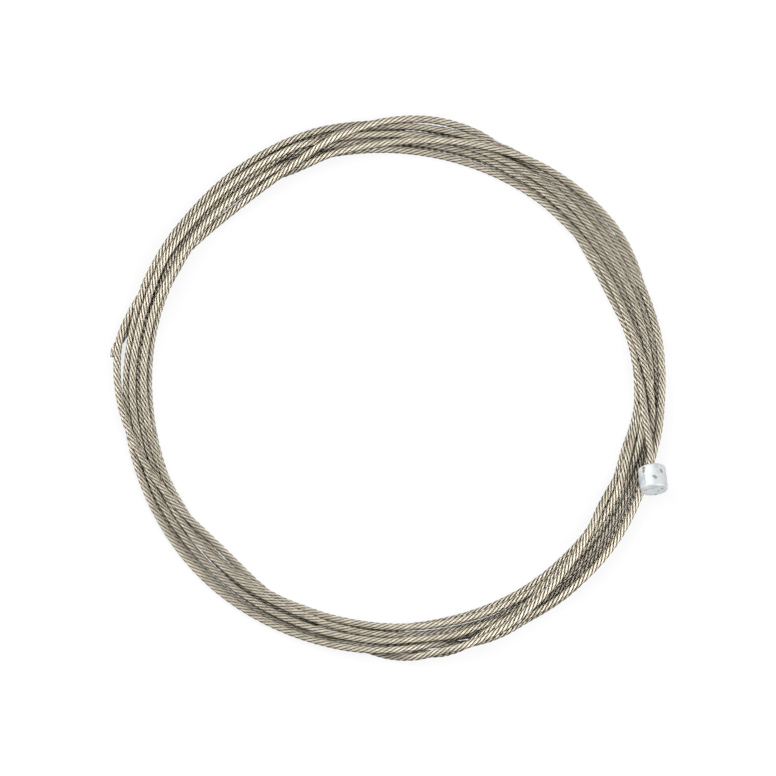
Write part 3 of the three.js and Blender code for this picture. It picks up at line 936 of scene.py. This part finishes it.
@dataclass
class BarrelHead:
    """The die-cast barrel on the cable's start, with its blind bore, soft rims, marks and painted
    shade in its dents.
    """

    diameter: float = 4.2 * MM
    length: float = 3.7 * MM
    edge: float = 0.34 * MM
    bore_radius: float = 0.63 * MM
    bore_depth: float = 2.5 * MM
    bore_flare: float = 0.2 * MM
    facets: int = 96
    rows_along: int = 30
    rim_steps: int = 7
    flare_steps: int = 4
    face_rings: int = 10
    exit_rings: int = 6
    # The bore's rings: on its bottom by its radius, and below its flare by the flare
    bottom_ring: float = 0.6
    flare_ring: float = 1.5
    seam_height: float = 0.025 * MM
    seam_width_degrees: float = 5.0
    seam_at_degrees: float = -38.0
    # The seam's marks: how many, where they start and how far apart by the length, and their reach
    seam_marks: int = 10
    seam_mark_start: float = 0.34
    seam_mark_step: float = 0.05
    seam_mark_reach: float = 0.1 * MM
    # The wear starts this many bore radii out, and the seam this share of the diameter
    worn_from: float = 1.6
    seam_from: float = 0.4
    # A dent's painted shade reaches this share of the dent
    dent_shade: float = 0.9
    unevenness: float = 0.012 * MM
    # The casting's wave along each axis, as (rate, start)
    waves: Pairs = ((2600.0, 1.1), (2100.0, 0.4), (2900.0, 2.0))
    finish: ZincFinish = field(default_factory=ZincFinish)
    # Each dent as (degrees round from the top, share of the length, reach and depth in mm)
    dents: tuple[tuple[float, float, float, float], ...] = (
        (39.0, 0.30, 0.30, 0.09),
        (43.0, 0.38, 0.30, 0.08),
        (5.0, 0.58, 0.32, 0.12),
        (11.0, 0.63, 0.32, 0.12),
        (28.0, 0.48, 0.46, -0.07),
        (-38.0, 0.14, 0.44, 0.09),
        (-40.0, 0.27, 0.40, 0.07),
    )
    # Each mark on the end face as (rightwards, upwards, reach) in mm
    face_marks: tuple[tuple[float, float, float], ...] = (
        (-1.50, 0.55, 0.22),
        (-1.20, 0.75, 0.20),
        (-0.90, 0.95, 0.18),
        (-0.55, 0.80, 0.18),
        (-0.20, 0.90, 0.16),
        (0.15, -1.60, 0.30),
        (1.15, 0.30, 0.30),
        (0.60, -0.30, 0.24),
    )

    def outline(self) -> list[tuple[float, float]]:
        """The turned outline.

        Returns:
            (radius, distance from the exit face), from the bore's bottom to the end's middle.
        """
        radius, bore, flare, edge = self.diameter / 2, self.bore_radius, self.bore_flare, self.edge
        points = [
            (0.0, self.bore_depth),
            (bore * self.bottom_ring, self.bore_depth),
            (bore, self.bore_depth),
            (bore, self.bore_depth / 2),
            (bore, flare * self.flare_ring),
        ]
        for k in range(self.flare_steps + 1):
            turn = k / self.flare_steps * math.pi / 2
            points.append((bore + flare * (1 - math.cos(turn)), flare * (1 - math.sin(turn))))
        flat = radius - edge
        inner = bore + flare
        rings = self.exit_rings
        points += [(inner + (flat - inner) * k / rings, 0.0) for k in range(1, rings)]
        turns = [k / self.rim_steps * math.pi / 2 for k in range(self.rim_steps + 1)]
        points += [(flat + edge * math.sin(turn), edge * (1 - math.cos(turn))) for turn in turns]
        side = self.length - 2 * edge
        points += [(radius, edge + side * k / self.rows_along) for k in range(1, self.rows_along)]
        points += [
            (flat + edge * math.cos(turn), self.length - edge * (1 - math.sin(turn)))
            for turn in turns
        ]
        rings = self.face_rings
        points += [(flat * (1 - k / rings), self.length) for k in range(1, rings)]
        points.append((0.0, self.length))
        return points

    def spot(self, degrees: float, share: float) -> Vector:
        """A point on the side.

        Args:
            degrees: The angle rightwards from the top.
            share: The share of the length from the exit face.

        Returns:
            The point, with Y along the head's axis.
        """
        angle = -math.radians(degrees)
        radius = self.diameter / 2
        return Vector((radius * math.sin(angle), share * self.length, radius * math.cos(angle)))

    def worn(self, point: Vector) -> Vector:
        """Moves a point of the turned form as the casting and its knocks do.

        Args:
            point: A point of the form, with Y along the head's axis.

        Returns:
            The moved point.
        """
        out = Vector((point.x, 0, point.z))
        reach = out.length
        if reach < self.bore_radius * self.worn_from:
            return point
        out /= reach
        moved = point.copy()
        degrees = -math.degrees(math.atan2(point.x, point.z))
        if reach > self.diameter * self.seam_from:
            off = (degrees - self.seam_at_degrees + 180) % 360 - 180
            for other in (0.0, 180.0):
                turn = abs((off - other + 180) % 360 - 180) / self.seam_width_degrees
                if turn < 1:
                    moved += out * self.seam_height * (0.5 + 0.5 * math.cos(math.pi * turn))
        for at, share, size, depth in self.dents:
            away = (point - self.spot(at, share)).length / (size * MM)
            if away < 1:
                moved -= out * (depth * MM) * (1 - away * away) ** 2
        # The casting is slightly uneven all over
        wave = math.prod(
            math.sin(at * rate + start) for at, (rate, start) in zip(point, self.waves)
        )
        return moved + out * wave * self.unevenness

    def build(self, pose: HeadPose, shift: Vector) -> Object:
        """Casts the head where the route puts it.

        Args:
            pose: The head's place in millimetres, before the coil is centred.
            shift: The centring shift in metres.

        Returns:
            The head, in place of its plain solid.
        """
        outline = self.outline()
        form = bmesh.new()
        rings: list[list[bmesh.types.BMVert]] = []
        for radius, y in outline:
            if radius == 0:
                rings.append([form.verts.new(self.worn(Vector((0, y, 0))))])
                continue
            ring = []
            for k in range(self.facets):
                angle = 2 * math.pi * k / self.facets
                corner = Vector((radius * math.sin(angle), y, radius * math.cos(angle)))
                ring.append(form.verts.new(self.worn(corner)))
            rings.append(ring)
        for first, second in zip(rings, rings[1:]):
            for k in range(self.facets):
                n = (k + 1) % self.facets
                round_ = ((first, k), (second, k), (second, n), (first, n))
                corners = [ring[at % len(ring)] for ring, at in round_]
                form.faces.new(list(dict.fromkeys(corners)))
        axis = pose.axis.normalized()
        up = Vector((0, 0, 1))
        up = (up - axis * up.dot(axis)).normalized()
        right = axis.cross(up)
        turn = Matrix((right, axis, up)).transposed().to_4x4()
        place = Matrix.Translation(pose.exit * MM + shift) @ turn
        form.transform(place)
        bmesh.ops.recalc_face_normals(form, faces=form.faces)
        mesh = bpy.data.meshes.new("barrel_head")
        form.to_mesh(mesh)
        form.free()
        mesh.shade_smooth()
        mesh.materials.append(self.finish.material(self.marks_and_shade(place)))
        head = placed("barrel_head", mesh)
        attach(head, "root")
        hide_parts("head")
        return head

    def marks_and_shade(self, place: Matrix) -> list[tuple[Vector, float]]:
        """The dark marks: painted shade in the dents, and stains on the end face and along the
        seam.

        Args:
            place: Where the head is put.

        Returns:
            The middle and the reach of each mark, in metres.
        """
        # Painted shade in each pushed-in dent
        marks_and_shade = [
            (place @ self.spot(at, share), size * MM * self.dent_shade)
            for at, share, size, depth in self.dents
            if depth > 0
        ]
        marks_and_shade += [
            (place @ Vector((-rightwards * MM, self.length, upwards * MM)), reach * MM)
            for rightwards, upwards, reach in self.face_marks
        ]
        for k in range(self.seam_marks):
            share = self.seam_mark_start + self.seam_mark_step * k
            marks_and_shade.append((place @ self.spot(self.seam_at_degrees, share), self.seam_mark_reach))
        return marks_and_shade


@dataclass
class Studio:
    """The pale floor, the soft light and the camera."""

    distance: float = 2.0
    elevation: float = 80.0
    px_per_mm: float = 6.6
    aim: Vector = field(default_factory=lambda: Vector((-0.08 * MM, 0.26 * MM, 0.0)))
    sensor: float = 36.0
    clip: tuple[float, float] = (0.05, 40.0)
    floor_size: float = 6.0
    floor_grey: float = 0.2
    floor_glow: float = 0.8
    # The sky's level at each height, from the horizon up, and its share away from the bright sides
    sky: Pairs = ((0.0, 1.6), (0.35, 2.2), (0.65, 1.6), (0.88, 0.36), (1.0, 0.32))
    bright_side: float = 143.0
    dim_side: float = 0.04
    # Each strip lamp as (degrees round from +X, degrees up, distance, width, height, watts)
    lamps: tuple[tuple[float, float, float, float, float, float], ...] = (
        (-40.0, 56.0, 0.6, 0.40, 0.70, 2.5),
        (144.0, 56.0, 0.6, 0.40, 0.70, 2.5),
    )

    @staticmethod
    def aimed(item: Object, back: Vector, place: Vector) -> None:
        """Puts a camera or lamp in its place, looking against a direction."""
        item.location = place
        item.rotation_euler = (-back).to_track_quat("-Z", "Y").to_euler()

    def camera(self) -> None:
        """Sets the camera to the photograph's angle and framing."""
        data = bpy.data.cameras.new("camera")
        field_mm = PHOTO_PX / self.px_per_mm
        data.sensor_width = self.sensor
        data.lens = self.sensor * self.distance / (field_mm * MM)
        data.clip_start, data.clip_end = self.clip
        camera = placed("camera", data)
        angle = math.radians(self.elevation)
        back = Vector((0, -math.cos(angle), math.sin(angle)))
        self.aimed(camera, back, self.aim + back * self.distance)
        bpy.context.scene.camera = camera

    def floor(self) -> None:
        """Lays a white floor that shows as the background and keeps the object's shadow."""
        half = self.floor_size / 2
        mesh = bpy.data.meshes.new("floor")
        corners = [(-half, -half, 0), (half, -half, 0), (half, half, 0), (-half, half, 0)]
        mesh.from_pydata(corners, [], [(0, 1, 2, 3)])
        kit = MaterialKit("white_floor")
        path = kit.add("ShaderNodeLightPath").outputs
        seen = kit.math("ADD", path["Is Camera Ray"], path["Is Glossy Ray"], use_clamp=True)
        seen = kit.math("ADD", seen, path["Is Transmission Ray"], use_clamp=True)
        kit.shade(
            {
                "Base Color": (*(self.floor_grey,) * 3, 1),
                "Roughness": 1.0,
                "Specular IOR Level": 0.0,
                "Emission Color": (1, 1, 1, 1),
                "Emission Strength": kit.math("MULTIPLY", seen, self.floor_glow),
            }
        )
        mesh.materials.append(kit.material)
        placed("floor", mesh)

    def world(self) -> None:
        """Sets soft light that is bright low down, more so on two sides, and dim overhead."""
        world = bpy.data.worlds.new("soft_light")
        bpy.context.scene.world = world
        world.use_nodes = True
        kit = NodeKit(world.node_tree)
        place = kit.add("ShaderNodeTexCoord").outputs["Generated"]
        height = kit.greys(kit.add("ShaderNodeSeparateXYZ", {0: place}).outputs["Z"], self.sky)
        turn = math.radians(self.bright_side)
        inputs = {0: place, 1: (math.cos(turn), math.sin(turn), 0)}
        side = kit.add("ShaderNodeVectorMath", inputs, operation="DOT_PRODUCT")
        square = kit.math("POWER", side.outputs["Value"], 2.0)
        level = kit.math("MULTIPLY", height, kit.spread(square, self.dim_side, 1.0))
        kit.feed(kit.tree.nodes["Background"], {"Color": (1, 1, 1, 1), "Strength": level})

    def light(self) -> None:
        """Hangs the soft lamps."""
        for k, (round_, up, distance, width, height, watts) in enumerate(self.lamps):
            data = bpy.data.lights.new(f"softbox_{k + 1}", "AREA")
            data.shape = "RECTANGLE"
            data.size, data.size_y = width, height
            data.energy = watts
            a, e = math.radians(round_), math.radians(up)
            back = Vector((math.cos(a) * math.cos(e), math.sin(a) * math.cos(e), math.sin(e)))
            self.aimed(placed(data.name, data), back, back * distance)

    def build(self) -> None:
        """Sets up the floor, the light and the camera."""
        self.camera()
        self.floor()
        self.world()
        self.light()
        bpy.context.scene.view_settings.view_transform = "Standard"


def triangle_count(piece: Object) -> int:
    """How many triangles a piece's mesh has."""
    return sum(len(face.vertices) - 2 for face in piece.data.polygons)


def centring(points: np.ndarray, crest: float) -> Vector:
    """The move that centres the cable's line on its solid and rests it on the floor.

    Args:
        points: The line's points in metres, one a row.
        crest: How far the bundles' crests stand out from the line.

    Returns:
        The move in metres.
    """
    low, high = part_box("cable")
    least, most = points.min(0), points.max(0)
    return Vector(
        (
            (low.x + high.x) / 2 - float(least[0] + most[0]) / 2,
            (low.y + high.y) / 2 - float(least[1] + most[1]) / 2,
            crest - float(least[2]),
        )
    )


def main() -> None:
    """Builds the studio, the strand and the head, and reports each piece."""
    logging.basicConfig(level=logging.INFO, format="%(name)s: %(message)s")
    Studio().build()
    route = CoilRoute()
    stations = route.settle()
    pose = route.head_pose(stations)
    strand = Strand()
    points = route.trace(route.knots(stations, pose), strand.step / MM) * MM
    length = float(np.linalg.norm(np.diff(points, axis=0), axis=1).sum())
    shift = centring(points, strand.crest_diameter / 2)
    points += np.array(shift)
    pieces = strand.build(points, pose.exit * MM + shift, length)
    pieces.append(BarrelHead().build(pose, shift))
    for piece in pieces:
        log.info("%s: %d triangles", piece.name, triangle_count(piece))
    log.info("the cable is %.3f m long", length)


if __name__ == "__main__":
    main()
